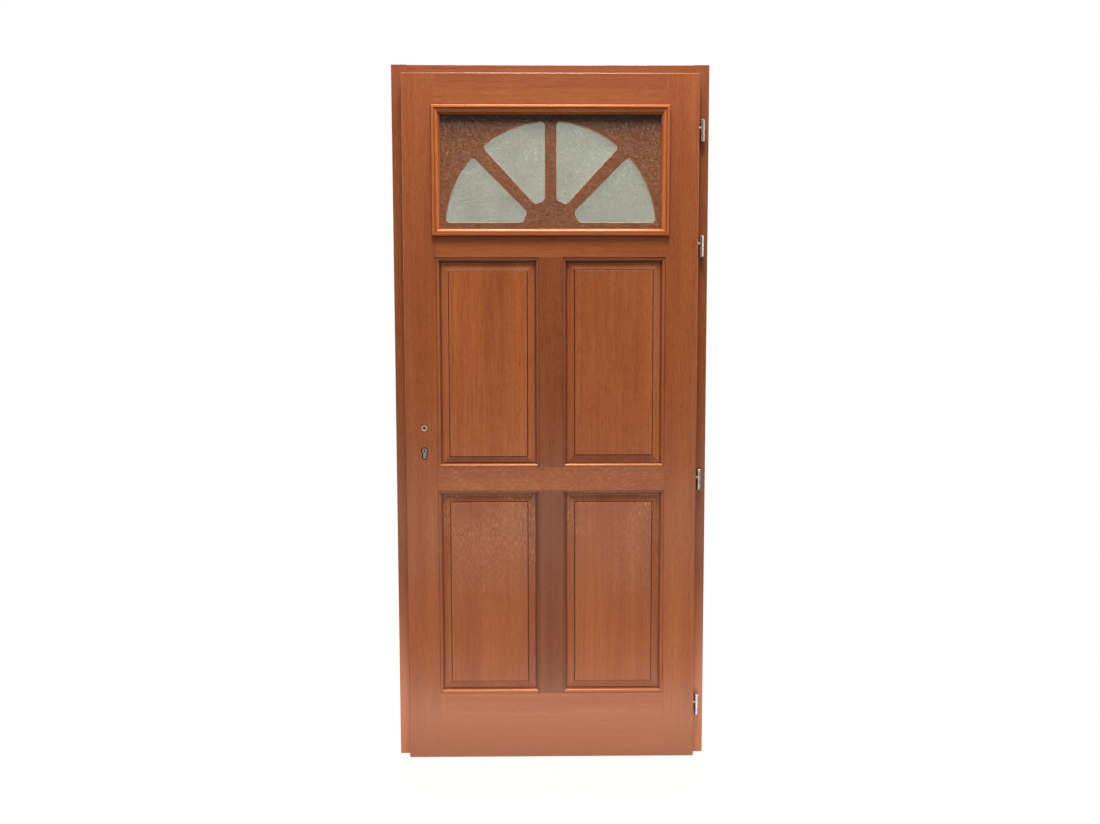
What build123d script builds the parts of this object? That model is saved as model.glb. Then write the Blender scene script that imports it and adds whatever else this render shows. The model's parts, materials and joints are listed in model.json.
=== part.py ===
from build123d import *
import os

# Rebated front door of solid hardwood, leaf and frame, in millimetres.
# X runs across the door, Z is up, and -Y is the room side, towards which the leaf opens.
# The origin lies under the middle of the door, on the floor.

# Frame
frame_width = 970.0
frame_height = 2156.0
frame_depth = 58.0
frame_visible_face = 35.0
frame_front_width = 48.0
frame_front_depth = 34.0
frame_stop_width = 68.0
head_tenon_length = 20.0
head_tenon_thickness = 14.0
head_tenon_shoulder = 2.0
frame_arris = 2.0

# Leaf
leaf_thickness = 56.0
leaf_lip_thickness = 25.0
leaf_lip_width = 18.0
leaf_face_gap = 3.0
leaf_floor_gap = 2.0
stile_width = 99.0
top_rail_height = 105.5
glazing_rail_height = 71.5
lock_rail_height = 74.0
bottom_rail_height = 207.0
muntin_width = 73.0
leaf_arris = 2.5
tenon_length = 45.0
muntin_tenon_length = 20.0
tenon_thickness = 18.0
tenon_shoulder = 8.0
joint_clearance = 0.2

# Moulded edge of the panel openings
sticking_width = 12.0
sticking_step = 2.0
sticking_depth = 12.0
sticking_flat = 2.0

# Raised panels
panel_field_setback = 6.5
panel_step = 4.0
panel_bevel_rise = 5.0
panel_margin = 25.5
panel_tongue = 7.0
panel_flat = 5.0
panel_groove_clearance = 0.2
panel_arris = 1.2
panel_quirk_width = 2.4
panel_quirk_depth = 3.0
upper_left_panel_drop = 4.5

# Glazed light
glass_height = 340.0
rebate_cover = 15.5
glass_setback = 8.0
glass_thickness = 4.0
fan_thickness = 8.0
back_lip_cover = 4.0
pane_clearance = 1.0
bead_width = 24.0
bead_proud = 12.0
bead_round = 4.0
bead_crown = 9.0
bead_quirk = 2.5
bead_lip_width = 3.0
bead_lip_proud = 1.5

# Fan of four lights
fan_centre_rise = 1.0
fan_foot_height = 18.5
fan_side_margin = 15.0
fan_top_margin = 16.0
fan_post_width = 35.5
fan_ray_hub_width = 32.0
fan_ray_rim_width = 41.5
fan_ray_angle = 46.0
fan_hub_radius = 86.0
fan_corner_round = 11.0
fan_hub_round = 16.0
fan_edge_chamfer = 1.0

# Hinges
hinge_axis_offset = 12.0
hinge_axis_setback = 13.0
hinge_barrel_radius = 6.5
hinge_barrel_length = 66.0
hinge_leaf_half_length = 30.0
hinge_half_gap = 0.4
hinge_cap_chamfer = 1.5
hinge_pin_radius = 3.5
hinge_pin_length = 20.0
hinge_pin_clearance = 0.05
hinge_stem_radius = 4.0
hinge_stem_clearance = 0.1
hinge_stem_rise = 5.0
hinge_leaf_stem_length = 34.0
hinge_frame_stem_length = 28.0
hinge_frame_stem_drop = 18.0
hinge_drops = (201.0, 548.0)
hinge_rises = (886.0, 164.0)

# Lock
spindle_height = 1050.0
lock_rail_gap = 1.0
spindle_backset = 40.0
lock_axis_setback = 37.0
cylinder_drop = 70.0
lock_hole_radius = 11.0
case_thickness = 15.0
case_depth = 63.0
case_rise = 45.0
case_fall = 50.0
case_wall = 1.5
case_clearance = 0.5
faceplate_width = 20.0
faceplate_thickness = 2.5
faceplate_length = 235.0
lock_play = 0.3
screw_head_radius = 4.0
screw_shank_radius = 2.0
screw_head_height = 1.8
screw_length = 25.0

# Follower and latch
follower_radius = 8.0
follower_collar_radius = 10.5
follower_collar_length = 8.0
follower_hub_length = 19.0
spindle_socket = 7.2
follower_arm_width = 6.0
follower_arm_reach = 21.0
follower_arm_lean = 15.0
follower_clearance = 0.08
latch_rise = 27.0
latch_height = 24.0
latch_thickness = 11.0
latch_head_length = 22.0
latch_tail_height = 8.0
latch_tail_thickness = 6.0
latch_hook_length = 5.0
latch_hook_drop = 9.0
latch_travel = 10.0
latch_drive_gap = 1.8

# Dead bolt and cylinder
bolt_rise = 9.2
bolt_height = 22.0
bolt_thickness = 10.0
bolt_throw = 14.0
bolt_notch_half = 12.2
bolt_tail_wall = 3.0
cylinder_radius = 8.5
cylinder_foot_width = 10.0
cylinder_height = 33.0
cylinder_front = 35.0
cylinder_back = 30.0
cylinder_hole_margin = 2.8
cylinder_play = 0.2
plug_radius = 6.5
plug_clearance = 0.05
keyway_width = 2.4
keyway_height = 8.0
keyway_depth = 24.0
cam_length = 9.6
cam_gap = 10.4
cam_radius = 14.8
cam_ring_radius = 7.9
cam_width = 7.0
cam_clearance = 0.4
cylinder_screw_drop = 20.2
cylinder_screw_radius = 2.5
cylinder_screw_head_radius = 4.4

# Strike
strike_length = 165.0
strike_width = 20.0
strike_thickness = 2.0
strike_pocket_depth = 18.0
strike_margin = 2.5

# Seal
seal_width = 8.0
seal_bulb = 5.6

# Overrun of every cut past the face that it opens, and the nearness that counts as lying on a plane
overrun = 5.0
touch = 0.01

# Places worked out from the sizes above
half_frame = frame_width / 2
half_leaf = half_frame - frame_visible_face
half_body = half_leaf - leaf_lip_width
half_opening = half_leaf - stile_width
leaf_proud = leaf_lip_thickness + leaf_face_gap
front_reach = leaf_proud + bead_proud
frame_face_y = (front_reach - frame_depth) / 2
frame_back_y = frame_face_y + frame_depth
stop_face_y = frame_face_y + frame_front_depth
leaf_front_y = frame_face_y - leaf_proud
leaf_back_y = leaf_front_y + leaf_thickness
leaf_mid_y = (leaf_front_y + leaf_back_y) / 2
lip_back_y = leaf_front_y + leaf_lip_thickness
leaf_bottom = leaf_floor_gap
leaf_top = frame_height - frame_visible_face
body_top = leaf_top - leaf_lip_width
half_muntin = muntin_width / 2
glass_width = 2 * (half_opening - rebate_cover)
rebate_top = leaf_top - top_rail_height
glass_bottom = rebate_top - rebate_cover - glass_height
rebate_bottom = glass_bottom - rebate_cover
cylinder_z = spindle_height - cylinder_drop
case_bottom = cylinder_z - case_fall
lower_opening_bottom = leaf_bottom + bottom_rail_height
lower_opening_top = case_bottom - lock_rail_gap - lock_rail_height
upper_opening_bottom = case_bottom - lock_rail_gap
upper_opening_top = rebate_bottom - glazing_rail_height
fan_radius = min(glass_width / 2 - fan_side_margin, glass_height - fan_centre_rise - fan_top_margin)
hinge_heights = [frame_height - drop for drop in hinge_drops] + list(hinge_rises)
glass_front_y = leaf_front_y + glass_setback
fan_front_y = glass_front_y + glass_thickness
fan_back_y = fan_front_y + fan_thickness
lock_y = leaf_front_y + lock_axis_setback
spindle_x = -half_body + spindle_backset
hinge_x = half_leaf + hinge_axis_offset
hinge_y = leaf_front_y + hinge_axis_setback
case_front_x = -half_body + faceplate_thickness
case_back_x = case_front_x + case_depth
case_top = spindle_height + case_rise
case_near_y = lock_y - case_thickness / 2
case_far_y = lock_y + case_thickness / 2
faceplate_z = (case_top + case_bottom) / 2
latch_z = spindle_height + latch_rise
bolt_bottom = cylinder_z + bolt_rise
bolt_z = bolt_bottom + bolt_height / 2
frame_rebate_x = half_frame - frame_front_width


def block(low, high):
    """A box between two opposite corners."""
    size = [h - l for l, h in zip(low, high)]
    middle = [(l + h) / 2 for l, h in zip(low, high)]
    return Pos(*middle) * Box(*size)


def rod(start, direction, radius, length):
    """A round bar that leaves a point in a direction."""
    return Solid.make_cylinder(radius, length, Plane(origin=start, z_dir=direction))


def save(name, *shapes):
    """Writes one piece, or a group of like pieces, to its own file."""
    shape = shapes[0] if len(shapes) == 1 else Compound(children=list(shapes))
    shape.label = name
    export_step(shape, "parts/" + name + ".step")


def eased(shape, radius, **places):
    """Rounds the edges whose middle lies at the given X, Y or Z places."""
    edges = [edge for edge in shape.edges()
             if all(abs(getattr(edge.center(), axis) - place) < touch for axis, place in places.items())]
    return fillet(edges, radius)


def mitred(profile, length, width, reach):
    """A moulding along X, its profile in the YZ plane, with both ends cut at 45 degrees.

    The profile rises along +Z from the line z = 0; there the strip is as long as it gets.
    """
    strip = extrude(Plane.YZ.offset(-length / 2) * profile, length)
    half = length / 2
    outline = Polyline((-half, 0), (half, 0), (half - width, width), (width - half, width), close=True)
    return strip & extrude(Plane.XZ * make_face(outline), reach, both=True)


os.makedirs("parts", exist_ok=True)


# Frame: two jambs with the head between them, all rebated for the leaf
def jamb(side):
    """A jamb along Z; side is -1 for the lock side and 1 for the hinge side."""
    front = Rectangle(frame_front_width, frame_front_depth, align=(Align.MAX, Align.MIN))
    stop = Rectangle(frame_stop_width, frame_depth - frame_front_depth, align=(Align.MAX, Align.MIN))
    outline = Pos(half_frame, frame_face_y) * front + Pos(half_frame, stop_face_y) * stop
    if side < 0:
        outline = mirror(outline, Plane.YZ)
    bar = extrude(outline.face(), frame_height)
    inner = half_frame - frame_front_width
    tenon = head_tenon(inner, joint_clearance)
    return bar - (tenon if side > 0 else mirror(tenon, Plane.YZ))


def head_tenon(inner, clearance):
    """The tenon at the right end of the head, or its mortise when given a clearance."""
    middle = (frame_face_y + stop_face_y) / 2
    half = head_tenon_thickness / 2 + clearance
    bottom = frame_height - frame_front_width + head_tenon_shoulder - clearance
    top = frame_height - head_tenon_shoulder + clearance
    return block((inner - joint_clearance, middle - half, bottom),
                 (inner + head_tenon_length + clearance, middle + half, top))


frame_head = block((-frame_rebate_x, frame_face_y, frame_height - frame_front_width),
                   (frame_rebate_x, stop_face_y, frame_height))
half_stop = half_frame - frame_stop_width
frame_head += block((-half_stop, stop_face_y, frame_height - frame_stop_width),
                    (half_stop, frame_back_y, frame_height))
right_tenon = head_tenon(frame_rebate_x, 0)
frame_head += [right_tenon, mirror(right_tenon, Plane.YZ)]

frame_head = eased(frame_head, frame_arris, Y=frame_face_y, Z=frame_height)
jamb_left = eased(jamb(-1), frame_arris, X=-half_frame, Y=frame_face_y)
jamb_right = eased(jamb(1), frame_arris, X=half_frame, Y=frame_face_y)

# Weather seal: a hollow-backed bulb along the stop, up one jamb, across the head and down the other
seal_path = Polyline((-half_stop, 0, 0), (-half_stop, 0, frame_height - frame_stop_width),
                     (half_stop, 0, frame_height - frame_stop_width), (half_stop, 0, 0))
seal_far = stop_face_y - joint_clearance
seal_near = seal_far - seal_bulb
seal_shape = Polyline((0, seal_far), (-seal_width, seal_far), (-seal_width, (seal_far + seal_near) / 2))
seal_shape += ThreePointArc((-seal_width, (seal_far + seal_near) / 2), (-seal_width / 2, seal_near),
                            (0, (seal_far + seal_near) / 2))
seal_shape += Line((0, (seal_far + seal_near) / 2), (0, seal_far))
seal_face = make_face(Pos(-half_stop, 0) * seal_shape)
seal = sweep(seal_face, path=seal_path, transition=Transition.RIGHT)

# Leaf members: the stiles run full height, the rails and muntins are tenoned between them
tongue_half = leaf_thickness / 2 - panel_field_setback - panel_step - panel_bevel_rise
groove_half = tongue_half + panel_groove_clearance
tenon_half = tenon_thickness / 2


def tenon(x, reach, low, high, clearance=0):
    """A tenon that leaves the plane at x by reach, between two heights."""
    ends = sorted((x, x + reach + (clearance if reach > 0 else -clearance)))
    return block((ends[0], leaf_mid_y - tenon_half - clearance, low - clearance),
                 (ends[1], leaf_mid_y + tenon_half + clearance, high + clearance))


def stud(x_low, x_high, z, reach, clearance=0):
    """A muntin's tenon that leaves the plane at z by reach."""
    ends = sorted((z, z + reach + (clearance if reach > 0 else -clearance)))
    return block((x_low - clearance, leaf_mid_y - tenon_half - clearance, ends[0]),
                 (x_high + clearance, leaf_mid_y + tenon_half + clearance, ends[1]))


def lipped(low_x, high_x, bottom, top, body_low_x, body_high_x, body_high_z):
    """A member with the front lip that covers the frame and the narrower body behind it."""
    lip = block((low_x, leaf_front_y, bottom), (high_x, lip_back_y, top))
    return lip + block((body_low_x, lip_back_y, bottom), (body_high_x, leaf_back_y, body_high_z))


rail_spans = {
    "bottom_rail": (leaf_bottom, lower_opening_bottom),
    "lock_rail": (lower_opening_top, upper_opening_bottom),
    "glazing_rail": (upper_opening_top, rebate_bottom),
    "top_rail": (rebate_top, leaf_top),
}
muntin_spans = {
    "lower_muntin": (lower_opening_bottom, lower_opening_top, "bottom_rail", "lock_rail"),
    "upper_muntin": (upper_opening_bottom, upper_opening_top, "lock_rail", "glazing_rail"),
}
members = {
    "lock_stile": lipped(-half_leaf, -half_opening, leaf_bottom, leaf_top, -half_body, -half_opening, body_top),
    "hinge_stile": lipped(half_opening, half_leaf, leaf_bottom, leaf_top, half_opening, half_body, body_top),
}
for name, (bottom, top) in rail_spans.items():
    body_high = min(top, body_top)
    rail = lipped(-half_opening, half_opening, bottom, top, -half_opening, half_opening, body_high)
    low, high = bottom + tenon_shoulder, body_high - tenon_shoulder
    rail += [tenon(half_opening, tenon_length, low, high), tenon(-half_opening, -tenon_length, low, high)]
    members[name] = rail
    members["hinge_stile"] -= tenon(half_opening, tenon_length, low, high, joint_clearance)
    members["lock_stile"] -= tenon(-half_opening, -tenon_length, low, high, joint_clearance)
for name, (bottom, top, below, above) in muntin_spans.items():
    muntin = block((-half_muntin, leaf_front_y, bottom), (half_muntin, leaf_back_y, top))
    stud_half = half_muntin - tenon_shoulder
    muntin += [stud(-stud_half, stud_half, bottom, -muntin_tenon_length),
               stud(-stud_half, stud_half, top, muntin_tenon_length)]
    members[name] = muntin
    members[below] -= stud(-stud_half, stud_half, bottom, -muntin_tenon_length, joint_clearance)
    members[above] -= stud(-stud_half, stud_half, top, muntin_tenon_length, joint_clearance)


# The leaf's outer arrises are eased before its edges are moulded
members["lock_stile"] = eased(members["lock_stile"], leaf_arris, X=-half_leaf, Y=leaf_front_y)
members["hinge_stile"] = eased(members["hinge_stile"], leaf_arris, X=half_leaf, Y=leaf_front_y)
for name in ("lock_stile", "top_rail", "hinge_stile"):
    members[name] = eased(members[name], leaf_arris, Y=leaf_front_y, Z=leaf_top)
for name in ("lock_stile", "bottom_rail", "hinge_stile"):
    members[name] = eased(members[name], leaf_arris, Y=leaf_front_y, Z=leaf_bottom)


# Moulded edges: each side of an opening carries a mitred ovolo on both faces, with the panel groove between them
def ovolo(edge_y, inner_y, width):
    """An ovolo lip from the leaf's face at edge_y to inner_y, rising by width along Z."""
    inward = 1 if inner_y > edge_y else -1
    start = edge_y + inward * sticking_step
    end = edge_y + inward * sticking_depth
    rise = width - sticking_flat
    half_root = 0.5 ** 0.5
    middle = (end + (start - end) * half_root, rise * half_root)
    outline = ThreePointArc((start, 0), middle, (end, rise))
    outline += Polyline((end, rise), (end, width), (inner_y, width), (inner_y, 0), (start, 0))
    return make_face(outline)


def around(x_low, x_high, z_low, z_high, profile, width):
    """Four mitred strips round an opening: bottom, top, left and right."""
    x_mid, z_mid = (x_low + x_high) / 2, (z_low + z_high) / 2
    level = mitred(profile, x_high - x_low, width, frame_depth)
    upright = mitred(profile, z_high - z_low, width, frame_depth)
    return (Pos(x_mid, 0, z_low) * level, Pos(x_mid, 0, z_high) * Rot(0, 180, 0) * level,
            Pos(x_low, 0, z_mid) * Rot(0, 90, 0) * upright, Pos(x_high, 0, z_mid) * Rot(0, -90, 0) * upright)


panel_openings = {
    "panel_upper_left": (-half_opening, -half_muntin, upper_opening_bottom, upper_opening_top),
    "panel_upper_right": (half_muntin, half_opening, upper_opening_bottom, upper_opening_top),
    "panel_lower_left": (-half_opening, -half_muntin, lower_opening_bottom, lower_opening_top),
    "panel_lower_right": (half_muntin, half_opening, lower_opening_bottom, lower_opening_top),
}
opening_sides = {
    "panel_upper_left": ("lock_rail", "glazing_rail", "lock_stile", "upper_muntin"),
    "panel_upper_right": ("lock_rail", "glazing_rail", "upper_muntin", "hinge_stile"),
    "panel_lower_left": ("bottom_rail", "lock_rail", "lock_stile", "lower_muntin"),
    "panel_lower_right": ("bottom_rail", "lock_rail", "lower_muntin", "hinge_stile"),
}
front_lip = ovolo(leaf_front_y, leaf_mid_y - groove_half, sticking_width)
back_lip = ovolo(leaf_back_y, leaf_mid_y + groove_half, sticking_width)
for name, opening in panel_openings.items():
    for lip in (front_lip, back_lip):
        for member, strip in zip(opening_sides[name], around(*opening, lip, sticking_width)):
            members[member] += strip

# The glazed light's stop: a lip behind the fan panel, moulded on the outside face
light = (-half_opening, half_opening, rebate_bottom, rebate_top)
light_sides = ("glazing_rail", "top_rail", "lock_stile", "hinge_stile")
stop_width = rebate_cover + back_lip_cover
light_stop = ovolo(leaf_back_y, fan_back_y, stop_width)
for member, strip in zip(light_sides, around(*light, light_stop, stop_width)):
    members[member] += strip


# Raised and fielded panels, alike on both faces
def raised_panel(x_low, x_high, z_low, z_high):
    """A tongue all round, then a bevelled margin, a quirk, a square step and a flat field on each face."""
    width = x_high - x_low - 2 * sticking_width
    height = z_high - z_low - 2 * sticking_width
    tongue = Box(width + 2 * panel_tongue, 2 * tongue_half, height + 2 * panel_tongue)
    field_size = (width - 2 * panel_margin, height - 2 * panel_margin)
    half = tongue_half + panel_bevel_rise
    base = Plane.XZ.offset(tongue_half) * Rectangle(width - 2 * panel_flat, height - 2 * panel_flat)
    crest = Plane.XZ.offset(half) * Rectangle(*field_size)
    bevel = loft([base.face(), crest.face()])
    field = extrude(crest, panel_step)
    field = eased(field, panel_arris, Y=-half - panel_step)
    quirk_size = [side + 2 * panel_quirk_width for side in field_size]
    ring = Plane.XZ.offset(half) * (Rectangle(*quirk_size) - Rectangle(*field_size))
    face = bevel + field - extrude(ring, -panel_quirk_depth)
    panel = tongue + [face, mirror(face, Plane.XZ)]
    return Pos((x_low + x_high) / 2, leaf_mid_y, (z_low + z_high) / 2) * panel


panels = {name: raised_panel(*opening) for name, opening in panel_openings.items()}
panels["panel_upper_left"] = Pos(0, 0, -upper_left_panel_drop) * panels["panel_upper_left"]

# Glass pane and, behind it, the fan panel with its four lights
pane_width = 2 * half_opening - 2 * pane_clearance
pane_height = rebate_top - rebate_bottom - 2 * pane_clearance
pane_z = (rebate_bottom + rebate_top) / 2
glass_pane = Pos(0, glass_front_y + glass_thickness / 2, pane_z) * Box(pane_width, glass_thickness, pane_height)
fan_panel = Pos(0, fan_front_y + fan_thickness / 2, pane_z) * Box(pane_width, fan_thickness, pane_height)
fan_z = glass_bottom + fan_centre_rise
sun = Circle(fan_radius) - Circle(fan_hub_radius)
sun -= Pos(0, fan_foot_height) * Rectangle(2 * fan_radius, 2 * fan_radius, align=(Align.CENTER, Align.MAX))
sun -= Rectangle(fan_post_width, fan_radius + overrun, align=(Align.CENTER, Align.MIN))
ray = make_face(Polyline((fan_hub_radius - fan_hub_round, -fan_ray_hub_width / 2),
                         (fan_radius + overrun, -fan_ray_rim_width / 2),
                         (fan_radius + overrun, fan_ray_rim_width / 2),
                         (fan_hub_radius - fan_hub_round, fan_ray_hub_width / 2), close=True))
sun -= Rot(0, 0, fan_ray_angle) * ray
sun -= Rot(0, 0, 180 - fan_ray_angle) * ray
for sector in sun.faces():
    middle_radius = (fan_radius + fan_hub_radius) / 2
    at_hub = [v for v in sector.vertices() if Vector(v.X, v.Y, 0).length < middle_radius]
    light_face = sector.fillet_2d(fan_hub_round, at_hub)
    at_rim = [v for v in light_face.vertices() if Vector(v.X, v.Y, 0).length > middle_radius]
    light_face = light_face.fillet_2d(fan_corner_round, at_rim)
    light_face = Plane.XZ.offset(-fan_back_y - overrun) * Pos(0, fan_z) * light_face
    fan_panel -= extrude(light_face, fan_thickness + 2 * overrun)
fan_front = fan_panel.faces().sort_by(Axis.Y)[0]
light_edges = [edge for wire in fan_front.inner_wires() for edge in wire.edges()]
fan_panel = chamfer(light_edges, fan_edge_chamfer)

# Glazing bead: a bolection moulding in four mitred lengths, over the leaf's face and into the rebate
bead_front_y = leaf_front_y - bead_proud
bead_foot = bead_width - rebate_cover
bead_lip_y = leaf_front_y - bead_lip_proud
cove_start_y = bead_front_y + bead_quirk
cove_drop = bead_lip_y - cove_start_y
cove_run = bead_width - bead_lip_width - bead_crown
half_root = 0.5 ** 0.5
round_middle = (bead_front_y + bead_round * (1 - half_root), bead_round * (1 - half_root))
cove_middle = (bead_lip_y - cove_drop * half_root, bead_crown + cove_run * half_root)
bead_outline = Line((leaf_front_y, 0), (bead_front_y + bead_round, 0))
bead_outline += ThreePointArc((bead_front_y + bead_round, 0), round_middle, (bead_front_y, bead_round))
bead_outline += Polyline((bead_front_y, bead_round), (bead_front_y, bead_crown), (cove_start_y, bead_crown))
bead_outline += ThreePointArc((cove_start_y, bead_crown), cove_middle, (bead_lip_y, bead_crown + cove_run))
bead_outline += Polyline((bead_lip_y, bead_crown + cove_run), (bead_lip_y, bead_width), (glass_front_y, bead_width),
                         (glass_front_y, bead_foot + joint_clearance), (leaf_front_y, bead_foot + joint_clearance),
                         (leaf_front_y, 0))
bead_profile = make_face(bead_outline)
beads = around(-glass_width / 2 - bead_width, glass_width / 2 + bead_width, glass_bottom - bead_width,
               glass_bottom + glass_height + bead_width, bead_profile, bead_width)
bead_names = ("glazing_bead_bottom", "glazing_bead_top", "glazing_bead_left", "glazing_bead_right")


# Hinges: the leaf's half lifts off the pin of the frame's half
def hinge_halves(middle):
    """Both halves of one hinge, and the holes that their stems need."""
    top = middle + hinge_barrel_length / 2
    split = top - hinge_leaf_half_length
    bottom = top - hinge_barrel_length
    stem_z = split + hinge_stem_rise
    up = (0, 0, 1)
    upper = rod((hinge_x, hinge_y, split), up, hinge_barrel_radius, hinge_leaf_half_length)
    upper = chamfer(upper.edges().sort_by(Axis.Z)[-1], hinge_cap_chamfer)
    reach = hinge_axis_offset + hinge_leaf_stem_length
    upper += rod((hinge_x, hinge_y, stem_z), (-1, 0, 0), hinge_stem_radius, reach)
    bore = hinge_pin_radius + hinge_pin_clearance
    upper -= rod((hinge_x, hinge_y, split), up, bore, hinge_pin_length + hinge_half_gap)
    lower_length = split - hinge_half_gap - bottom
    lower = rod((hinge_x, hinge_y, bottom), up, hinge_barrel_radius, lower_length)
    lower = chamfer(lower.edges().sort_by(Axis.Z)[0], hinge_cap_chamfer)
    lower += rod((hinge_x, hinge_y, bottom), up, hinge_pin_radius, lower_length + hinge_pin_length)
    face_gap = frame_face_y - hinge_y
    frame_stem_z = split - hinge_frame_stem_drop
    lower += rod((hinge_x, hinge_y, frame_stem_z), (0, 1, 0), hinge_stem_radius, face_gap + hinge_frame_stem_length)
    hole = hinge_stem_radius + hinge_stem_clearance
    leaf_hole = rod((hinge_x, hinge_y, stem_z), (-1, 0, 0), hole, reach)
    frame_hole = rod((hinge_x, hinge_y, frame_stem_z), (0, 1, 0), hole, face_gap + hinge_frame_stem_length)
    return upper, lower, leaf_hole, frame_hole


hinges = [hinge_halves(height) for height in hinge_heights]
for upper, lower, leaf_hole, frame_hole in hinges:
    members["hinge_stile"] -= leaf_hole
    jamb_right -= frame_hole


# Screws: a countersunk head and a plain shank, along X
def screw(x, z, direction, length, shank, head, ease=0):
    """A countersunk screw whose head lies flush at x; ease widens it into its own hole."""
    start = (x, lock_y, z)
    along = Plane(origin=start, z_dir=(direction, 0, 0))
    return Solid.make_cone(head + ease, shank + ease, screw_head_height, along) + \
        Solid.make_cylinder(shank + ease, length + ease, along)


def plate(x, z, length, width, thickness):
    """A round-ended plate in a YZ plane, from x towards +X by thickness."""
    return extrude(Plane.YZ.offset(x) * Pos(lock_y, z) * Rot(0, 0, 90) * SlotOverall(length, width), thickness)


# Lock case: a tray with its cover, behind a round-ended faceplate
lock_case = block((case_front_x, case_near_y, case_bottom), (case_back_x, case_far_y - case_wall, case_top))
lock_case -= block((case_front_x + case_wall, case_near_y + case_wall, case_bottom + case_wall),
                   (case_back_x - case_wall, case_far_y, case_top - case_wall))
lock_cover = block((case_front_x, case_far_y - case_wall, case_bottom), (case_back_x, case_far_y, case_top))
faceplate = plate(-half_body, faceplate_z, faceplate_length, faceplate_width, faceplate_thickness)
mortise = block((-half_body - overrun, case_near_y - case_clearance, case_bottom - case_clearance),
                (case_back_x + case_clearance, case_far_y + case_clearance, case_top + case_clearance))
mortise += plate(-half_body - overrun, faceplate_z, faceplate_length + joint_clearance,
                 faceplate_width + joint_clearance, faceplate_thickness + overrun)


# Profile cylinder: round at the plug, narrow below, with the cam in a gap at its middle
def cylinder_shape(margin, front, back):
    """The cylinder's outline, grown by a margin and drawn through the leaf from front to back."""
    foot_radius = cylinder_foot_width / 2
    foot_drop = cylinder_height - cylinder_radius - foot_radius
    outline = Circle(cylinder_radius + margin)
    outline += Pos(0, -foot_drop) * Circle(foot_radius + margin)
    outline += Rectangle(cylinder_foot_width + 2 * margin, foot_drop, align=(Align.CENTER, Align.MAX))
    at = Plane.XZ.offset(-lock_y - back) * Pos(spindle_x, cylinder_z)
    return extrude(at * outline, front + back)


along_y = (0, 1, 0)
through = leaf_thickness + overrun
cylinder_start = (spindle_x, lock_y - cylinder_front, cylinder_z)
cylinder_length = cylinder_front + cylinder_back
cylinder_body = cylinder_shape(0, cylinder_front, cylinder_back)
cylinder_body -= rod(cylinder_start, along_y, plug_radius + plug_clearance, cylinder_length)
cylinder_body -= block((spindle_x - cam_radius, lock_y - cam_gap / 2, cylinder_z - cam_radius - cam_clearance),
                       (spindle_x + cam_radius, lock_y + cam_gap / 2, cylinder_z + cam_radius))
cylinder_plug = rod(cylinder_start, along_y, plug_radius, cylinder_length)
keyway_half = keyway_width / 2
for mouth in (lock_y - cylinder_front, lock_y + cylinder_back - keyway_depth):
    cylinder_plug -= block((spindle_x - keyway_half, mouth, cylinder_z - keyway_height / 2),
                           (spindle_x + keyway_half, mouth + keyway_depth, cylinder_z + keyway_height / 2))
cam_start = (spindle_x, lock_y - cam_length / 2, cylinder_z)
cylinder_cam = block((spindle_x - cam_width / 2, lock_y - cam_length / 2, cylinder_z - cam_radius),
                     (spindle_x + cam_width / 2, lock_y + cam_length / 2, cylinder_z))
cylinder_cam &= rod(cam_start, along_y, cam_radius, cam_length)
cylinder_cam += rod(cam_start, along_y, cam_ring_radius, cam_length)
cylinder_cam -= rod(cam_start, along_y, plug_radius + plug_clearance, cam_length)

# Dead bolt: drawn in, flush with the faceplate, with a notch that the cam passes through
notch_x = spindle_x + bolt_throw / 2
dead_bolt = block((-half_body, lock_y - bolt_thickness / 2, bolt_bottom),
                  (notch_x + bolt_notch_half + bolt_tail_wall, lock_y + bolt_thickness / 2, bolt_bottom + bolt_height))
dead_bolt -= block((notch_x - bolt_notch_half, lock_y - bolt_thickness, bolt_bottom),
                   (notch_x + bolt_notch_half, lock_y + bolt_thickness, cylinder_z + cam_radius + cam_clearance))

# Follower: a hub with a square socket and an arm that draws the latch in
hub_start = (spindle_x, lock_y - follower_hub_length / 2, spindle_height)
collar_start = (spindle_x, lock_y - follower_collar_length / 2, spindle_height)
follower = rod(hub_start, along_y, follower_radius, follower_hub_length)
follower += rod(collar_start, along_y, follower_collar_radius, follower_collar_length)
arm = block((-follower_arm_width / 2, -follower_collar_length / 2, 0),
            (follower_arm_width / 2, follower_collar_length / 2, follower_arm_reach))
follower += Pos(spindle_x, lock_y, spindle_height) * Rot(0, follower_arm_lean, 0) * arm
follower -= Pos(spindle_x, lock_y, spindle_height) * Box(spindle_socket, follower_hub_length, spindle_socket)

# Latch: a bevelled head, a tail over the follower and a hook behind the follower's arm
lean = arm.moved(Location((0, 0, 0), (0, follower_arm_lean, 0)))
hook_x = spindle_x + lean.bounding_box().max.X + latch_drive_gap
half_latch = latch_thickness / 2
latch_outline = Polyline((-half_body, lock_y - half_latch), (-half_body + latch_head_length, lock_y - half_latch),
                         (-half_body + latch_head_length, lock_y + half_latch),
                         (-half_body + latch_head_length / 2, lock_y + half_latch),
                         (-half_body, lock_y - half_latch / 2), close=True)
latch_head = extrude(Plane.XY.offset(latch_z - latch_height / 2) * make_face(latch_outline), latch_height)
tail_half = latch_tail_thickness / 2
latch_bolt = latch_head + block(
    (-half_body + latch_head_length, lock_y - tail_half, latch_z - latch_tail_height / 2),
    (hook_x + latch_hook_length, lock_y + tail_half, latch_z + latch_tail_height / 2))
latch_bolt += block((hook_x, lock_y - tail_half, latch_z - latch_tail_height / 2 - latch_hook_drop),
                    (hook_x + latch_hook_length, lock_y + tail_half, latch_z))


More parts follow.
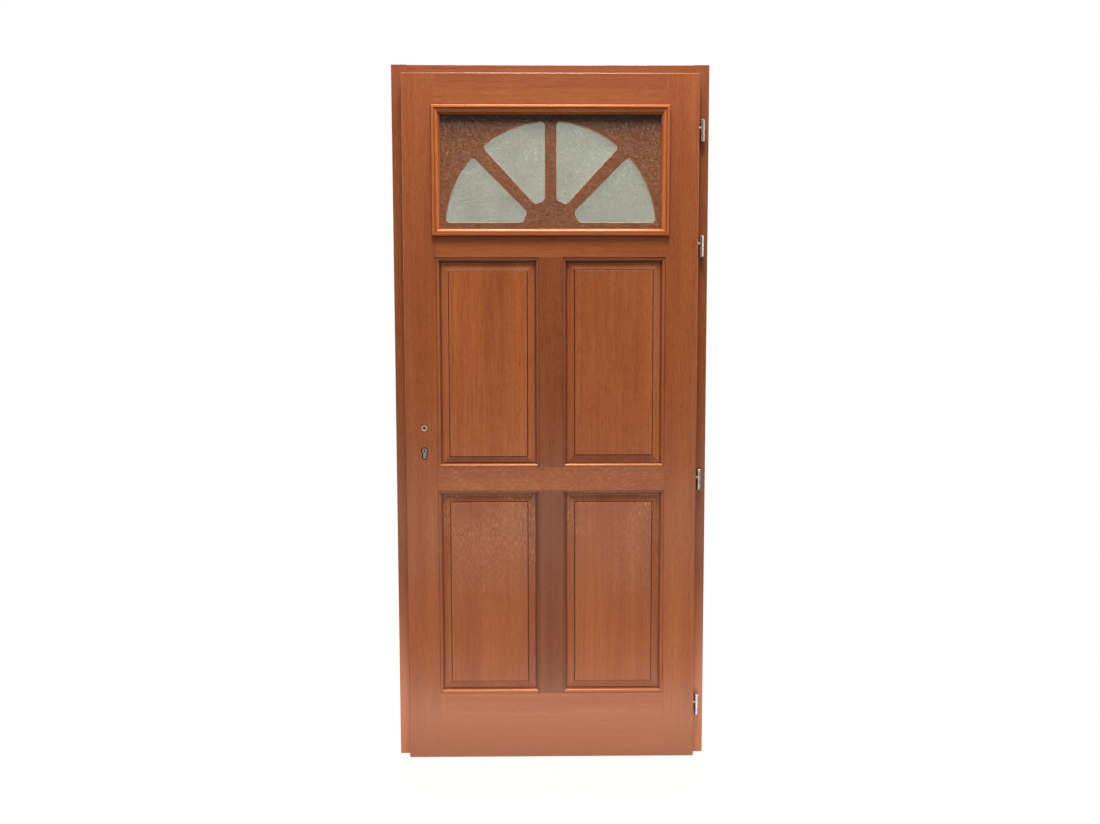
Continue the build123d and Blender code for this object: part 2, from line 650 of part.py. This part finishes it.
# Windows that the latch and the dead bolt slide through
def windows(x_low, x_high, margin):
    """The latch's and the dead bolt's windows between two planes, wider than them by a margin."""
    latch_y, bolt_y = half_latch + margin, bolt_thickness / 2 + margin
    return [block((x_low, lock_y - latch_y, latch_z - latch_height / 2 - margin),
                  (x_high, lock_y + latch_y, latch_z + latch_height / 2 + margin)),
            block((x_low, lock_y - bolt_y, bolt_bottom - margin),
                  (x_high, lock_y + bolt_y, bolt_bottom + bolt_height + margin))]


faceplate -= windows(-half_body - overrun, case_front_x + overrun, lock_play)
lock_case -= windows(case_front_x - overrun, case_front_x + case_wall, lock_play)

# Holes through the case, its cover and the stile
case_bore = rod((spindle_x, lock_y - through, spindle_height), along_y, follower_radius + follower_clearance, 2 * through)
stile_bore = rod((spindle_x, lock_y - through, spindle_height), along_y, lock_hole_radius, 2 * through)
lock_case -= [case_bore, cylinder_shape(cylinder_play, through, through)]
lock_cover -= [case_bore, cylinder_shape(cylinder_play, through, through)]
members["lock_stile"] -= [mortise, stile_bore, cylinder_shape(cylinder_hole_margin, through, through)]

# Fixing screws of the faceplate and of the cylinder
screw_places = [faceplate_z + side * (faceplate_length - faceplate_width) / 2 for side in (-1, 1)]
faceplate_screws = [screw(-half_body, z, 1, screw_length, screw_shank_radius, screw_head_radius) for z in screw_places]
for z in screw_places:
    hole = screw(-half_body, z, 1, screw_length, screw_shank_radius, screw_head_radius, joint_clearance)
    faceplate -= hole
    members["lock_stile"] -= hole
fixing = (-half_body, cylinder_z - cylinder_screw_drop, 1, spindle_backset + cylinder_foot_width / 2)
cylinder_screw = screw(*fixing, cylinder_screw_radius, cylinder_screw_head_radius)
cylinder_screw_hole = screw(*fixing, cylinder_screw_radius, cylinder_screw_head_radius, joint_clearance)
faceplate -= cylinder_screw_hole
lock_case -= cylinder_screw_hole
cylinder_body -= cylinder_screw_hole

# Strike plate let into the lock-side jamb, with a pocket behind each window
strike_z = (latch_z + bolt_z) / 2
strike_x = -frame_rebate_x
strike_plate = plate(strike_x - strike_thickness, strike_z, strike_length, strike_width, strike_thickness)
jamb_left -= plate(strike_x - strike_thickness, strike_z, strike_length + joint_clearance,
                   strike_width + joint_clearance, strike_thickness + overrun)
strike_plate -= windows(strike_x - strike_thickness - overrun, strike_x + overrun, strike_margin)
jamb_left -= windows(strike_x - strike_pocket_depth, strike_x, strike_margin)
strike_screw_places = [strike_z + side * (strike_length - strike_width) / 2 for side in (-1, 1)]
strike_screws = [screw(strike_x, z, -1, screw_length, screw_shank_radius, screw_head_radius)
                 for z in strike_screw_places]
for z in strike_screw_places:
    hole = screw(strike_x, z, -1, screw_length, screw_shank_radius, screw_head_radius, joint_clearance)
    strike_plate -= hole
    jamb_left -= hole

# Every piece to its own file
save("frame_jamb_left", jamb_left)
save("frame_jamb_right", jamb_right)
save("frame_head", frame_head)
save("frame_seal", seal)
save("strike_plate", strike_plate)
save("strike_screws", *strike_screws)
for name, member in members.items():
    save(name, member)
for name, panel in panels.items():
    save(name, panel)
save("fan_panel", fan_panel)
save("glass_pane", glass_pane)
for name, bead in zip(bead_names, beads):
    save(name, bead)
for number, halves in enumerate(hinges, 1):
    save(f"hinge_{number}_leaf_half", halves[0])
    save(f"hinge_{number}_frame_half", halves[1])
save("lock_case", lock_case)
save("lock_case_cover", lock_cover)
save("lock_faceplate", faceplate)
save("faceplate_screws", *faceplate_screws)
save("cylinder_body", cylinder_body)
save("cylinder_screw", cylinder_screw)
save("cylinder_plug", cylinder_plug)
save("cylinder_cam", cylinder_cam)
save("dead_bolt", dead_bolt)
save("follower", follower)
save("latch_bolt", latch_bolt)
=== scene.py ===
import json
import math

import bpy
import numpy as np
from mathutils import Matrix, Vector


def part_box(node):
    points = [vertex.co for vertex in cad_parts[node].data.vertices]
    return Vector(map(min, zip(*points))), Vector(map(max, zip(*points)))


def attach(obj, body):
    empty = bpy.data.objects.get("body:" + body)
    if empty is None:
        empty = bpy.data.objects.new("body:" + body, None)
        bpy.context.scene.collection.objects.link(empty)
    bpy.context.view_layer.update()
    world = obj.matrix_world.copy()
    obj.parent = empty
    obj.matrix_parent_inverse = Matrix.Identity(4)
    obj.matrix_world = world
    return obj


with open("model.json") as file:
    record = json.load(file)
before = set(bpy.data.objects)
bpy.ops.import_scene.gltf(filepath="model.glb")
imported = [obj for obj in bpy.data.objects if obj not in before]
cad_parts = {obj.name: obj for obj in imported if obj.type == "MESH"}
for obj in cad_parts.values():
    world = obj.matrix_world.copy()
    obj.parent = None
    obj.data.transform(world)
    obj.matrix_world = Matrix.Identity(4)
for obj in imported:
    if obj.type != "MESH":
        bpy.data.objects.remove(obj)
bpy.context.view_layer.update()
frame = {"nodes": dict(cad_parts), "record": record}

nodes = frame["nodes"]
collection = bpy.context.scene.collection

# The photograph's camera: focal length in its own pixels, angles in degrees, and the eye's place in metres
# from the middle of the frame's front face at floor level
PHOTO_WIDTH = 1100
FOCAL_PIXELS = 680
EYE = (-0.0213, -2.1254, 1.2212)
YAW, PITCH, ROLL = -0.484, -3.307, -0.105
SENSOR_MM = 36.0

# Metres per millimetre
MM = 0.001

# Figure of the wood: width across the grain and length along it of each kind of mark
BAND_MM = (60, 1200)
RIBBON_MM = (9, 420)
FIBRE_MM = (2.4, 60)
PORE_MM = (1.8, 16)
# Pale glints of open pores are a painted highlight
GLINT_MM = (2.8, 15)

# Size of the patches that the painted glints come in, and how far the painted shade reaches out of inner
# corners
GLINT_PATCH_MM = 120
CORNER_SHADE_MM = 4

# Stain from dark to pale, by its place on the scale of the figure
STAIN = ((0.3, "#8D4524"), (0.5, "#A25629"), (0.7, "#B36A36"))

# Painted glints fade between these heights in metres
GLINT_FOOT, GLINT_FULL = 0.45, 0.8


def linear(hex_colour):
    """An sRGB hex value as linear red, green, blue and full alpha."""
    srgb = [int(hex_colour[i:i + 2], 16) / 255 for i in (1, 3, 5)]
    return tuple(c / 12.92 if c <= 0.04045 else ((c + 0.055) / 1.055) ** 2.4 for c in srgb) + (1.0,)


def add(tree, kind, inputs=None, out=0, **settings):
    """Adds a node with its settings and gives one of its outputs.

    Each input is given a value, or a link where the value is a socket.
    """
    node = tree.nodes.new(kind)
    for name, value in settings.items():
        setattr(node, name, value)
    for key, value in (inputs or {}).items():
        socket = node.inputs[key]
        if isinstance(value, bpy.types.NodeSocket):
            tree.links.new(value, socket)
        else:
            socket.default_value = value
    return node.outputs[out] if node.outputs else None


def new_material(name):
    """An empty node material, and the tree to fill."""
    material = bpy.data.materials.new(name)
    material.use_nodes = True
    material.node_tree.nodes.clear()
    return material, material.node_tree


def grain_noise(tree, coords, size_mm, detail=2.0, distortion=0.0):
    """Noise drawn out along the grain, which runs along the texture's Z, in marks of one width and length."""
    width, length = size_mm
    across, along = 1 / (width * MM), 1 / (length * MM)
    stretched = add(tree, "ShaderNodeMapping", {"Vector": coords, "Scale": (across, across, along)})
    return add(tree, "ShaderNodeTexNoise", {"Vector": stretched, "Scale": 1.0, "Detail": detail,
                                            "Roughness": 0.55, "Distortion": distortion})


def stained_meranti(name, level, tone, shift, glints, bloom, alone):
    """Meranti, planed, stained red-brown and satin varnished.

    The eye sees long soft bands, narrower ribbons, fine fibre streaks and short dark pores, all along the
    grain; patches of pale glints where open pores above knee height catch the light, a painted highlight; a
    dark line in each of the inner corners, painted shade; and a paler wash toward the floor, painted light
    from the pale floor. Fibres, pores and glints are drawn two or three times as coarse as they are, to show
    in the picture.
    level turns the grain from upright to level, tone is the piece's lightness, its blue not lifted where
    it is above one, shift moves the figure and glints is their strength. bloom is the painted floor light's
    top height in metres, its share at the floor and its colour. alone keeps the painted shade lines to the
    piece's own inner corners, for one that lies against glass.
    """
    material, tree = new_material(name)
    place = add(tree, "ShaderNodeTexCoord", out="Object")
    turn = (0, math.pi / 2, 0) if level else (0, 0, 0)
    coords = add(tree, "ShaderNodeMapping", {"Vector": place, "Rotation": turn, "Location": shift})
    bands = grain_noise(tree, coords, BAND_MM, 3.0, 0.4)
    ribbons = grain_noise(tree, coords, RIBBON_MM)
    fibres = grain_noise(tree, coords, FIBRE_MM, 3.0)
    pores = grain_noise(tree, coords, PORE_MM, 1.0)

    # Bands, ribbons and fibres together choose the stain
    spread = add(tree, "ShaderNodeMath", {0: bands, 1: 0.4}, operation="MULTIPLY")
    spread = add(tree, "ShaderNodeMath", {0: ribbons, 1: 0.25, 2: spread}, operation="MULTIPLY_ADD")
    spread = add(tree, "ShaderNodeMath", {0: fibres, 1: 0.35, 2: spread}, operation="MULTIPLY_ADD")
    stain = add(tree, "ShaderNodeValToRGB", {"Fac": spread})
    stops = stain.node.color_ramp.elements
    stops.new(STAIN[1][0])
    for stop, (position, colour) in zip(stops, STAIN):
        stop.position = position
        stop.color = linear(colour)

    # Pores, painted shade in inner corners and the piece's tone darken or lighten it
    pore_mask = add(tree, "ShaderNodeMapRange", {"Value": pores, "From Min": 0.62, "From Max": 0.72})
    dark = add(tree, "ShaderNodeMapRange", {"Value": pore_mask, "To Min": tone, "To Max": tone * 0.62})
    # Painted shade: darker where the surface lies in inner corners
    corner_shade_ao = add(tree, "ShaderNodeAmbientOcclusion", {"Distance": CORNER_SHADE_MM * MM}, "AO", samples=8,
                   only_local=alone)
    corner_shade = add(tree, "ShaderNodeMapRange", {"Value": corner_shade_ao, "From Min": 0.5, "From Max": 0.92,
                                              "To Min": 0.12, "To Max": 1.0})
    dark = add(tree, "ShaderNodeMath", {0: dark, 1: corner_shade}, operation="MULTIPLY")
    yellow = add(tree, "ShaderNodeMath", {0: dark, 1: min(1.0, 1 / tone)}, operation="MULTIPLY")
    shade = add(tree, "ShaderNodeCombineColor", {"Red": dark, "Green": dark, "Blue": yellow})
    colour = add(tree, "ShaderNodeMix", {0: 1.0, 6: stain, 7: shade}, 2, data_type="RGBA",
                 blend_type="MULTIPLY")

    # Painted highlights: pale glints of open pores, in patches and out of the inner corners
    height = add(tree, "ShaderNodeSeparateXYZ", {0: place}, "Z")
    glint_dashes = grain_noise(tree, coords, GLINT_MM, 2.5)
    glint_dashes = add(tree, "ShaderNodeMapRange", {"Value": glint_dashes, "From Min": 0.47, "From Max": 0.64,
                                              "To Max": glints})
    raised = add(tree, "ShaderNodeMapRange", {"Value": height, "From Min": GLINT_FOOT,
                                              "From Max": GLINT_FULL})
    glint_dashes = add(tree, "ShaderNodeMath", {0: glint_dashes, 1: raised}, operation="MULTIPLY")
    patches = add(tree, "ShaderNodeTexNoise", {"Vector": coords, "Scale": 1 / (GLINT_PATCH_MM * MM), "Detail": 1.0})
    patches = add(tree, "ShaderNodeMapRange", {"Value": patches, "From Min": 0.3, "From Max": 0.55})
    pale = add(tree, "ShaderNodeMath", {0: glint_dashes, 1: patches}, operation="MULTIPLY")
    pale = add(tree, "ShaderNodeMath", {0: pale, 1: corner_shade}, operation="MULTIPLY")
    colour = add(tree, "ShaderNodeMix", {0: pale, 6: colour, 7: linear("#CE9166")}, 2, data_type="RGBA")

    # Painted light from the pale floor: paler toward the floor
    floor_glow_top, floor_glow_share, floor_glow_colour = bloom
    dust_and_floor_glow = add(tree, "ShaderNodeMapRange", {"Value": height, "From Min": floor_glow_top, "From Max": 0.0,
                                            "To Max": floor_glow_share})
    colour = add(tree, "ShaderNodeMix", {0: dust_and_floor_glow, 6: colour, 7: linear(floor_glow_colour)}, 2, data_type="RGBA")

    # Satin varnish, which sinks a little into the pores
    rough = add(tree, "ShaderNodeMapRange", {"Value": fibres, "To Min": 0.3, "To Max": 0.46})
    relief = add(tree, "ShaderNodeMath", {0: pore_mask, 1: -1.0, 2: fibres}, operation="MULTIPLY_ADD")
    bump = add(tree, "ShaderNodeBump", {"Strength": 0.25, "Distance": 0.25 * MM, "Height": relief})
    shader = add(tree, "ShaderNodeBsdfPrincipled", {
        "Base Color": colour, "Roughness": rough, "Normal": bump, "IOR": 1.5, "Specular IOR Level": 0.5,
        "Coat Weight": 0.12, "Coat Roughness": 0.2})
    add(tree, "ShaderNodeOutputMaterial", {"Surface": shader})
    return material


def cast_glass(name, tint, cloud, roughness, grain_mm, relief_mm, milk):
    """Cast glass: small soft grains rolled into it blur what lies behind and catch the light here and there.

    It lets lamps through. tint shades to cloud over a hand's breadth, and milk is how much the brightest
    grains scatter.
    """
    material, tree = new_material(name)
    place = add(tree, "ShaderNodeTexCoord", out="Object")
    grains = add(tree, "ShaderNodeTexNoise", {"Vector": place, "Scale": 1 / (grain_mm * MM), "Detail": 2.0})
    bump = add(tree, "ShaderNodeBump", {"Strength": 0.5, "Distance": relief_mm * MM, "Height": grains})
    drift = add(tree, "ShaderNodeTexNoise", {"Vector": place, "Scale": 1 / (90 * MM), "Detail": 2.0})
    drift = add(tree, "ShaderNodeMapRange", {"Value": drift, "From Min": 0.35, "From Max": 0.65})
    colour = add(tree, "ShaderNodeMix", {0: drift, 6: linear(tint), 7: linear(cloud)}, 2, data_type="RGBA")
    clear = add(tree, "ShaderNodeMapRange", {"Value": grains, "From Min": 0.52, "From Max": 0.64,
                                             "To Min": 0.97, "To Max": 1.0 - milk})
    shader = add(tree, "ShaderNodeBsdfPrincipled", {
        "Base Color": colour, "Roughness": roughness, "IOR": 1.4, "Transmission Weight": clear,
        "Normal": bump})
    passing = add(tree, "ShaderNodeBsdfTransparent", {"Color": linear("#F4F6F2")})
    lamp_ray = add(tree, "ShaderNodeLightPath", out="Is Shadow Ray")
    both = add(tree, "ShaderNodeMixShader", {0: lamp_ray, 1: shader, 2: passing})
    add(tree, "ShaderNodeOutputMaterial", {"Surface": both})
    return material


def turned_metal(name, colour, dull, roughness, ring_mm, stain_mm, metal=1.0):
    """A plated or turned metal with fine lines across Z and cloudy stains that shade colour to dull.

    metal below 1 shows more of the colour as a diffuse surface.
    """
    material, tree = new_material(name)
    place = add(tree, "ShaderNodeTexCoord", out="Object")
    squashed = add(tree, "ShaderNodeMapping", {"Vector": place, "Scale": (20, 20, 1 / (ring_mm * MM))})
    rings = add(tree, "ShaderNodeTexNoise", {"Vector": squashed, "Scale": 1.0, "Detail": 2.0})
    clouds = add(tree, "ShaderNodeTexNoise", {"Vector": place, "Scale": 1 / (stain_mm * MM), "Detail": 4.0})
    stain = add(tree, "ShaderNodeMapRange", {"Value": clouds, "From Min": 0.45, "From Max": 0.75})
    mix = add(tree, "ShaderNodeMix", {0: stain, 6: linear(colour), 7: linear(dull)}, 2, data_type="RGBA")
    rough = add(tree, "ShaderNodeMapRange", {"Value": clouds, "To Min": roughness * 0.75,
                                             "To Max": roughness * 1.3})
    bump = add(tree, "ShaderNodeBump", {"Strength": 0.2, "Distance": 0.05 * MM, "Height": rings})
    shader = add(tree, "ShaderNodeBsdfPrincipled", {"Base Color": mix, "Metallic": metal, "Normal": bump,
                                                    "Roughness": rough})
    add(tree, "ShaderNodeOutputMaterial", {"Surface": shader})
    return material


def seal_rubber():
    """Extruded seal rubber, dark brown and matt with a dusty bloom."""
    material, tree = new_material("extruded_seal_rubber")
    place = add(tree, "ShaderNodeTexCoord", out="Object")
    dust_and_floor_glow = add(tree, "ShaderNodeTexNoise", {"Vector": place, "Scale": 1 / (12 * MM), "Detail": 5.0})
    colour = add(tree, "ShaderNodeMix", {0: dust_and_floor_glow, 6: linear("#241C17"), 7: linear("#3A312B")}, 2,
                 data_type="RGBA")
    bump = add(tree, "ShaderNodeBump", {"Strength": 0.15, "Distance": 0.1 * MM, "Height": dust_and_floor_glow})
    shader = add(tree, "ShaderNodeBsdfPrincipled", {"Base Color": colour, "Roughness": 0.75, "Normal": bump})
    add(tree, "ShaderNodeOutputMaterial", {"Surface": shader})
    return material


def wear(node, material):
    """Gives a node's object one material."""
    nodes[node].data.materials.clear()
    nodes[node].data.materials.append(material)


# Wooden pieces: whether the grain lies level, and the lightness of each board; the glazing beads' high
# lightness is a painted highlight, and the right jamb's low lightness is painted shade
BOARDS = {
    "frame_jamb_left": (False, 0.82),
    "frame_jamb_right": (False, 0.78),
    "frame_head": (True, 0.8),
    "lock_stile": (False, 0.97),
    "hinge_stile": (False, 1.02),
    "top_rail": (True, 0.9),
    "glazing_rail": (True, 1.06),
    "lock_rail": (True, 0.97),
    "bottom_rail": (True, 1.1),
    "upper_muntin": (False, 0.74),
    "lower_muntin": (False, 0.62),
    "panel_upper_left": (False, 1.07),
    "panel_upper_right": (False, 1.04),
    "panel_lower_left": (False, 0.95),
    "panel_lower_right": (False, 0.98),
    "fan_panel": (True, 0.97),
    "glazing_bead_top": (True, 1.55),
    "glazing_bead_bottom": (True, 1.35),
    "glazing_bead_left": (False, 1.35),
    "glazing_bead_right": (False, 1.35),
}

# Boards whose open pores catch the light most, as painted highlights, and the painted light from the floor on
# the leaf's and the frame's feet
GLINTING_BOARDS = {"lock_rail": 0.34, "panel_lower_left": 0.62, "panel_lower_right": 0.55, "fan_panel": 0.5}
PLAIN_GLINTS = 0.1
LEAF_FLOOR_GLOW = (0.26, 0.72, "#BD7F62")
FRAME_FLOOR_GLOW = (0.6, 0.95, "#DA8A64")
for number, (board, (level, tone)) in enumerate(BOARDS.items()):
    shift = (0.37 * number, 0.23 * number, 0.61 * number)
    bloom = FRAME_FLOOR_GLOW if board.startswith("frame_jamb") else LEAF_FLOOR_GLOW
    glints = GLINTING_BOARDS.get(board, PLAIN_GLINTS)
    name = "stained_meranti_" + board
    wear(board, stained_meranti(name, level, tone, shift, glints, bloom, board == "fan_panel"))

bush_brass = turned_metal("satin_turned_brass", "#CEC299", "#A39366", 0.4, 0.5, 4, 0.3)
FINISHES = {
    "hinge_steel": turned_metal("satin_nickel_plated_steel", "#C9C6BE", "#98958C", 0.3, 0.5, 9),
    "zinc_steel": turned_metal("zinc_plated_steel", "#B9B9B4", "#8F8F8A", 0.42, 0.6, 6),
    "nickel": turned_metal("nickel_plated_brass", "#BDB8AE", "#8B8578", 0.28, 0.4, 5),
    # The follower's pale, barely metallic brass is painted light in the shade of its bore
    "brass": turned_metal("sintered_brass_pale_painted_light", "#EBDBA6", "#C9B070", 0.45, 0.5, 4, 0.2),
    "obscure_glass": cast_glass("cast_obscure_glass", "#EDF1EA", "#E6EAE3", 0.08, 3.8, 0.35, 0.17),
    "seal_rubber": seal_rubber(),
}
for part in frame["record"]["subparts"]:
    if part["material_slot"] in FINISHES:
        wear(part["node"], FINISHES[part["material_slot"]])


def new_piece(name, points, faces, material):
    """A mesh object at the origin, of points and faces, with one material."""
    mesh = bpy.data.meshes.new(name)
    mesh.from_pydata(points, [], faces)
    mesh.materials.append(material)
    piece = bpy.data.objects.new(name, mesh)
    collection.objects.link(piece)
    return piece


def slab(name, low, high, material):
    """A thin flat sheet: the eight corners of its box, as the grid of low and high along each axis."""
    ends = np.array([low, high])
    pick = np.indices((2, 2, 2)).reshape(3, -1)
    corners = np.stack([ends[pick[axis], axis] for axis in range(3)], 1)
    faces = [(0, 1, 3, 2), (4, 6, 7, 5), (0, 4, 5, 1), (2, 3, 7, 6), (0, 2, 6, 4), (1, 5, 7, 3)]
    return new_piece(name, corners.tolist(), faces, material)


def turned_ring(name, centre, profile, steps, material):
    """A ring about a level axis along Y: a closed profile of radius and depth, carried round the centre.

    A point is the centre plus radius times (cosine, 0, sine) of the turn, moved by its depth along Y.
    """
    radius, depth = np.array(profile).T
    turn = np.arange(steps)[:, None] * 2 * math.pi / steps
    along = np.tile(depth, (steps, 1))
    points = np.stack([radius * np.cos(turn), along, radius * np.sin(turn)], 2) + np.array(centre)
    index = np.arange(steps * len(radius)).reshape(steps, -1)
    ahead, onward = np.roll(index, -1, 0), np.roll(index, -1, 1)
    faces = np.stack([index, onward, np.roll(ahead, -1, 1), ahead], 2).reshape(-1, 4)
    return new_piece(name, points.reshape(-1, 3).tolist(), faces.tolist(), material)


# Frosted backing: a thin sheet on the back of the fan panel, inside the stop moulding, whose grey-green is
# painted shade, the dimness of the space behind the door
BACKING_COVER = 15.5 * MM
BACKING_THICK = 1.5 * MM
BACKING_GAP = 0.2 * MM
fan_low, fan_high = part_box("fan_panel")
backing_y = fan_high.y + BACKING_GAP
backing_low = (fan_low.x + BACKING_COVER, backing_y, fan_low.z + BACKING_COVER)
backing_high = (fan_high.x - BACKING_COVER, backing_y + BACKING_THICK, fan_high.z - BACKING_COVER)
shaded_etched_sheet = cast_glass("acid_etched_sheet_grey_painted_shade", "#9A9B93", "#8F9089", 0.5, 2, 0.1, 0.05)
backing = slab("frosted_backing", backing_low, backing_high, shaded_etched_sheet)
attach(backing, "leaf")

# Spindle bush: a turned brass lining in the front mouth of the spindle bore, a hair proud of the stile
BUSH_OUTER = 10.9 * MM
BUSH_INNER = 5.1 * MM
BUSH_LENGTH = 24 * MM
BUSH_PROUD = 0.4 * MM
BUSH_EDGE = 0.7 * MM
BUSH_BEVEL = 1.4 * MM
BUSH_BEVEL_DEPTH = 7 * MM
BUSH_STEPS = 48
FOLLOWER_COLLAR = 10.5 * MM
plug_low, plug_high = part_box("cylinder_plug")
bush_x = (plug_low.x + plug_high.x) / 2
bush_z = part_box("follower")[0].z + FOLLOWER_COLLAR
bush_centre = (bush_x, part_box("lock_stile")[0].y, bush_z)
bush_profile = [
    (BUSH_INNER, BUSH_LENGTH),
    (BUSH_INNER, BUSH_EDGE - BUSH_PROUD),
    (BUSH_INNER + BUSH_EDGE, -BUSH_PROUD),
    (BUSH_OUTER - BUSH_BEVEL, -BUSH_PROUD),
    (BUSH_OUTER, BUSH_BEVEL_DEPTH - BUSH_PROUD),
    (BUSH_OUTER, BUSH_LENGTH),
]
bush = turned_ring("spindle_bush", bush_centre, bush_profile, BUSH_STEPS, bush_brass)
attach(bush, "leaf")


def spin(degrees, first, second):
    """A turn from the first axis to the second, as a 3 x 3 matrix."""
    cosine, sine = math.cos(math.radians(degrees)), math.sin(math.radians(degrees))
    turn = np.eye(3)
    turn[[first, first, second, second], [first, second, first, second]] = cosine, -sine, sine, cosine
    return turn


# Camera: right, down and forward axes from yaw, pitch and roll, then Blender's own right, up and back
level_axes = np.array([[1, 0, 0], [0, 0, -1], [0, 1, 0]])
right, down, forward = spin(ROLL, 0, 1) @ level_axes @ spin(PITCH, 1, 2).T @ spin(YAW, 0, 1).T
camera_data = bpy.data.cameras.new("camera")
camera_data.sensor_width = SENSOR_MM
camera_data.lens = FOCAL_PIXELS / PHOTO_WIDTH * SENSOR_MM
camera = bpy.data.objects.new("camera", camera_data)
collection.objects.link(camera)
pose = Matrix(np.stack([right, -down, -forward], 1).tolist()).to_4x4()
pose.translation = Vector(EYE) + Vector((0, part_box("frame_jamb_left")[0].y, 0))
camera.matrix_world = pose
bpy.context.scene.camera = camera


def area_light(name, place, aim, size, watts, colour="#FFFFFF"):
    """A soft rectangular lamp at a place, turned to its aim."""
    data = bpy.data.lights.new(name, "AREA")
    data.shape = "RECTANGLE"
    data.size, data.size_y = size
    data.energy = watts
    data.color = linear(colour)[:3]
    lamp = bpy.data.objects.new(name, data)
    lamp.visible_camera = False
    lamp.location = place
    lamp.rotation_euler = (Vector(aim) - Vector(place)).to_track_quat("-Z", "Y").to_euler()
    collection.objects.link(lamp)


area_light("key", (0, -1.4, 4.9), (0, 0, 1.2), (1.2, 1.3), 168, "#FFF1E0")
area_light("overhead", (0, -0.42, 4.6), (0, -0.05, 1.0), (1.4, 0.3), 45, "#FFD8A0")
area_light("rear", (0, 1.8, 4.9), (0, 0, 1.2), (1.6, 0.9), 130, "#FFF8F0")
area_light("low_fill", (0, -1.6, 0.42), (0, 0, 0.6), (2.4, 0.5), 6)
area_light("floor_bounce", (0, -0.32, 0.02), (0, -0.2, 0.6), (1.8, 0.4), 3)
area_light("left_side", (-2.8, 0.6, 1.7), (-0.49, 0, 1.1), (0.6, 1.8), 14)
area_light("right_side", (2.8, 0.6, 1.7), (0.49, 0, 1.1), (0.6, 1.8), 14)

# Floor: half its width, where its fade to white begins and ends in metres from the door, its white at the
# door and its strength in reflections
FLOOR_REACH = 14.0
FADE_START, FADE_END = 0.6, 2.0
WHITE_AT_DOOR = 0.75
FLOOR_IN_GLOSS = 0.18


def pale_floor():
    """Painted studio floor: pale and matt with faint roller mottling, fading to plain white far off."""
    material, tree = new_material("pale_matt_floor_paint")
    place = add(tree, "ShaderNodeTexCoord", out="Object")
    mottle = add(tree, "ShaderNodeTexNoise", {"Vector": place, "Scale": 1 / (40 * MM), "Detail": 3.0})
    colour = add(tree, "ShaderNodeMix", {0: mottle, 6: linear("#F4F3F0"), 7: linear("#FAF9F7")}, 2,
                 data_type="RGBA")
    diffuse = add(tree, "ShaderNodeBsdfDiffuse", {"Color": colour})
    path = add(tree, "ShaderNodeLightPath").node.outputs
    seen = add(tree, "ShaderNodeMath", {0: path["Is Camera Ray"], 1: path["Is Transmission Ray"]},
               operation="MAXIMUM")
    seen = add(tree, "ShaderNodeMath", {0: path["Is Glossy Ray"], 1: FLOOR_IN_GLOSS, 2: seen},
               operation="MULTIPLY_ADD")
    glow = add(tree, "ShaderNodeEmission", {"Color": linear("#FFFFFF"), "Strength": seen})
    far = add(tree, "ShaderNodeVectorMath", {0: place}, "Value", operation="LENGTH")
    share = add(tree, "ShaderNodeMapRange", {"Value": far, "From Min": FADE_START, "From Max": FADE_END,
                                             "To Min": WHITE_AT_DOOR, "To Max": 1.0})
    mixed = add(tree, "ShaderNodeMixShader", {0: share, 1: diffuse, 2: glow})
    add(tree, "ShaderNodeOutputMaterial", {"Surface": mixed})
    return material


floor_corners = [(FLOOR_REACH * x, FLOOR_REACH * y, 0) for x, y in ((-1, -1), (1, -1), (1, 1), (-1, 1))]
floor = new_piece("floor", floor_corners, [(0, 1, 2, 3)], pale_floor())


def black_cloth():
    """Black velvet on a card: no shine at all, so it shows in lacquer and metal as the dark of a room."""
    material, tree = new_material("black_velvet")
    shader = add(tree, "ShaderNodeBsdfDiffuse", {"Color": linear("#1B1A17")})
    add(tree, "ShaderNodeOutputMaterial", {"Surface": shader})
    return material


# A dark card behind the camera, seen in reflections only, keeps white haze off the upper half of the lacquer
CARD_HALF_WIDTH, CARD_Y, CARD_LOW, CARD_HIGH = 2.2, -3.2, 0.4, 4.4
card_corners = [(-CARD_HALF_WIDTH, CARD_Y, CARD_LOW), (CARD_HALF_WIDTH, CARD_Y, CARD_LOW),
                (CARD_HALF_WIDTH, CARD_Y, CARD_HIGH), (-CARD_HALF_WIDTH, CARD_Y, CARD_HIGH)]
card = new_piece("dark_card", card_corners, [(0, 1, 2, 3)], black_cloth())
card.visible_camera = card.visible_diffuse = card.visible_transmission = card.visible_shadow = False

# World: white to the camera, in reflections and through glass, and a plain grey as light
WORLD_LIT, WORLD_SHOWN = 0.5, 1.0
world = bpy.data.worlds.new("studio")
bpy.context.scene.world = world
world.use_nodes = True
sky = world.node_tree
sky.nodes.clear()
path = add(sky, "ShaderNodeLightPath").node.outputs
seen = add(sky, "ShaderNodeMath", {0: path["Is Camera Ray"], 1: path["Is Glossy Ray"]}, operation="MAXIMUM")
seen = add(sky, "ShaderNodeMath", {0: seen, 1: path["Is Transmission Ray"]}, operation="MAXIMUM")
lit = add(sky, "ShaderNodeBackground", {"Color": linear("#FFFFFF"), "Strength": WORLD_LIT})
shown = add(sky, "ShaderNodeBackground", {"Color": linear("#FFFFFF"), "Strength": WORLD_SHOWN})
both = add(sky, "ShaderNodeMixShader", {0: seen, 1: lit, 2: shown})
add(sky, "ShaderNodeOutputWorld", {"Surface": both})
bpy.context.scene.view_settings.view_transform = "Standard"
